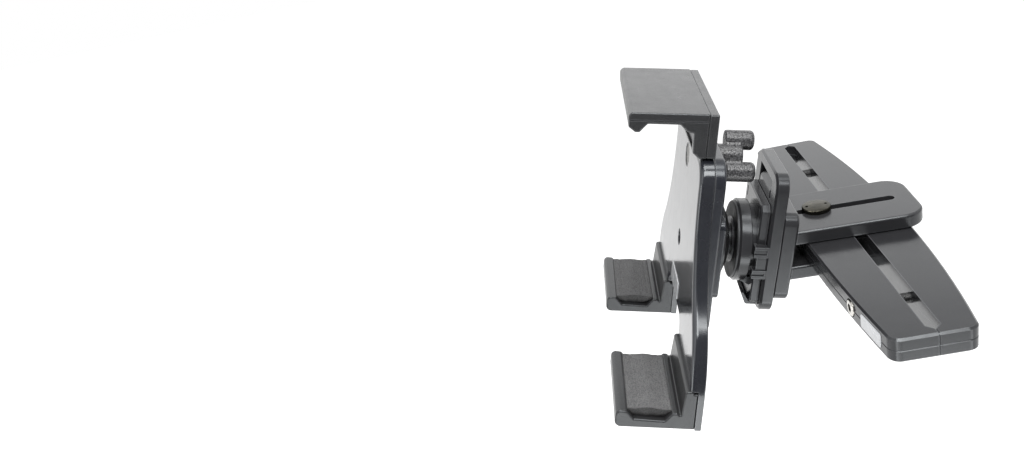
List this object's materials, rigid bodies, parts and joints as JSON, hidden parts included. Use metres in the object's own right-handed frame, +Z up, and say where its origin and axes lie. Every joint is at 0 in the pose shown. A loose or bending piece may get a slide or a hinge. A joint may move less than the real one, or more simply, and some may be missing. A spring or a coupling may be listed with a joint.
{
  "type": "headrest tablet holder",
  "caption": "Tablet holder with hooked feet and a sliding top claw, on a ball swivel and slotted arm that clamp to a bar round headrest posts.",
  "frame": {"origin": "middle of the post slot, halfway up the bar", "axes": "+X along the bar, +Y towards the headrest, +Z up along the posts"},
  "size_m": [0.25, 0.1835, 0.1604],
  "materials": {
    "gloss_black": "satin gloss",
    "satin_black": "satin",
    "grain_black": "fine grain",
    "ring_black": "matt",
    "foam_grey": "open foam",
    "nickel": "plated",
    "dark_steel": "blackened",
    "bronze": "brushed",
    "knob_black": "pebbled",
    "pale_insert": "plain"
  },
  "bodies": {
    "bar": {"front_jaw_upper": "satin_black", "front_jaw_lower": "satin_black", "front_jaw_screws": "dark_steel", "bar_badge": "pale_insert"},
    "rear_jaw": {"rear_jaw_upper": "satin_black", "rear_jaw_lower": "satin_black", "rear_jaw_screws": "dark_steel", "cross_nuts": "nickel"},
    "cross_bolt_left": {"cross_bolt_left": "nickel"},
    "cross_bolt_right": {"cross_bolt_right": "nickel"},
    "arm_bolt": {"clamp_bolt": "nickel"},
    "clamp_disc": {"clamp_disc": "bronze"},
    "arm": {"upper_arm": "satin_black", "lower_arm": "satin_black", "arm_plate": "satin_black", "arm_screws": "dark_steel", "clip_plate": "satin_black", "clip_screws": "dark_steel"},
    "latch": {"clip_latch": "satin_black"},
    "adapter": {"socket_adapter": "satin_black"},
    "ring": {"swivel_ring": "ring_black"},
    "holder": {"swivel_ball": "satin_black", "rear_plate": "satin_black", "swivel_screws": "dark_steel", "centre_screw": "nickel", "front_plate": "gloss_black", "back_plate": "satin_black", "back_plate_screws": "dark_steel", "left_foot": "grain_black", "right_foot": "grain_black", "foot_screws": "dark_steel", "left_foot_pad": "foam_grey", "right_foot_pad": "foam_grey", "plate_badge": "pale_insert", "knob_bolt": "bronze", "knob_washer": "dark_steel"},
    "claw": {"top_claw": "grain_black", "claw_slide": "grain_black", "claw_screws": "dark_steel"},
    "knob": {"wing_knob": "knob_black"}
  },
  "joints": [
    {"name": "jaw_open", "type": "slide", "parent": "bar", "child": "rear_jaw", "axis": [0, 1, 0], "range_m": [0, 0.012]},
    {"name": "left_bolt_turn", "type": "hinge", "parent": "bar", "child": "cross_bolt_left", "pos_m": [-0.083, 0, 0], "axis": [0, 1, 0], "continuous": true},
    {"name": "right_bolt_turn", "type": "hinge", "parent": "bar", "child": "cross_bolt_right", "pos_m": [0.083, 0, 0], "axis": [0, 1, 0], "continuous": true},
    {"name": "arm_swing", "type": "hinge", "parent": "bar", "child": "arm_bolt", "pos_m": [0, -0.0158, 0], "axis": [0, 0, 1], "range_deg": [-4.8, 10.2]},
    {"name": "disc_turn", "type": "hinge", "parent": "arm_bolt", "child": "clamp_disc", "pos_m": [0, -0.0158, 0.014], "axis": [0, 0, 1], "continuous": true},
    {"name": "arm_reach", "type": "slide", "parent": "arm_bolt", "child": "arm", "axis": [-0.0471, -0.9989, 0], "range_m": [0, 0.038]},
    {"name": "latch_press", "type": "hinge", "parent": "arm", "child": "latch", "pos_m": [-0.00192, -0.0566, -0.02837], "axis": [0.9989, -0.0471, 0], "range_deg": [0, 10], "stiffness_Nm_per_rad": 0.4},
    {"name": "clip_slide", "type": "slide", "parent": "arm", "child": "adapter", "axis": [0.0102, 0.2162, 0.9763], "range_m": [0, 0.03]},
    {"name": "swivel_turn", "type": "hinge", "parent": "adapter", "child": "ring", "pos_m": [-0.00209, -0.06021, 0.00382], "axis": [0.046, 0.9752, -0.2164], "continuous": true},
    {"name": "swivel_tilt", "type": "hinge", "parent": "ring", "child": "holder", "pos_m": [-0.00209, -0.06021, 0.00382], "axis": [0.9989, -0.0471, 0], "range_deg": [-8, 10]},
    {"name": "claw_raise", "type": "slide", "parent": "holder", "child": "claw", "axis": [0.0102, 0.2162, 0.9763], "range_m": [0, 0.055]},
    {"name": "knob_turn", "type": "hinge", "parent": "holder", "child": "knob", "pos_m": [-0.00219, -0.06223, 0.05569], "axis": [0.046, 0.9752, -0.2164], "continuous": true}
  ]
}
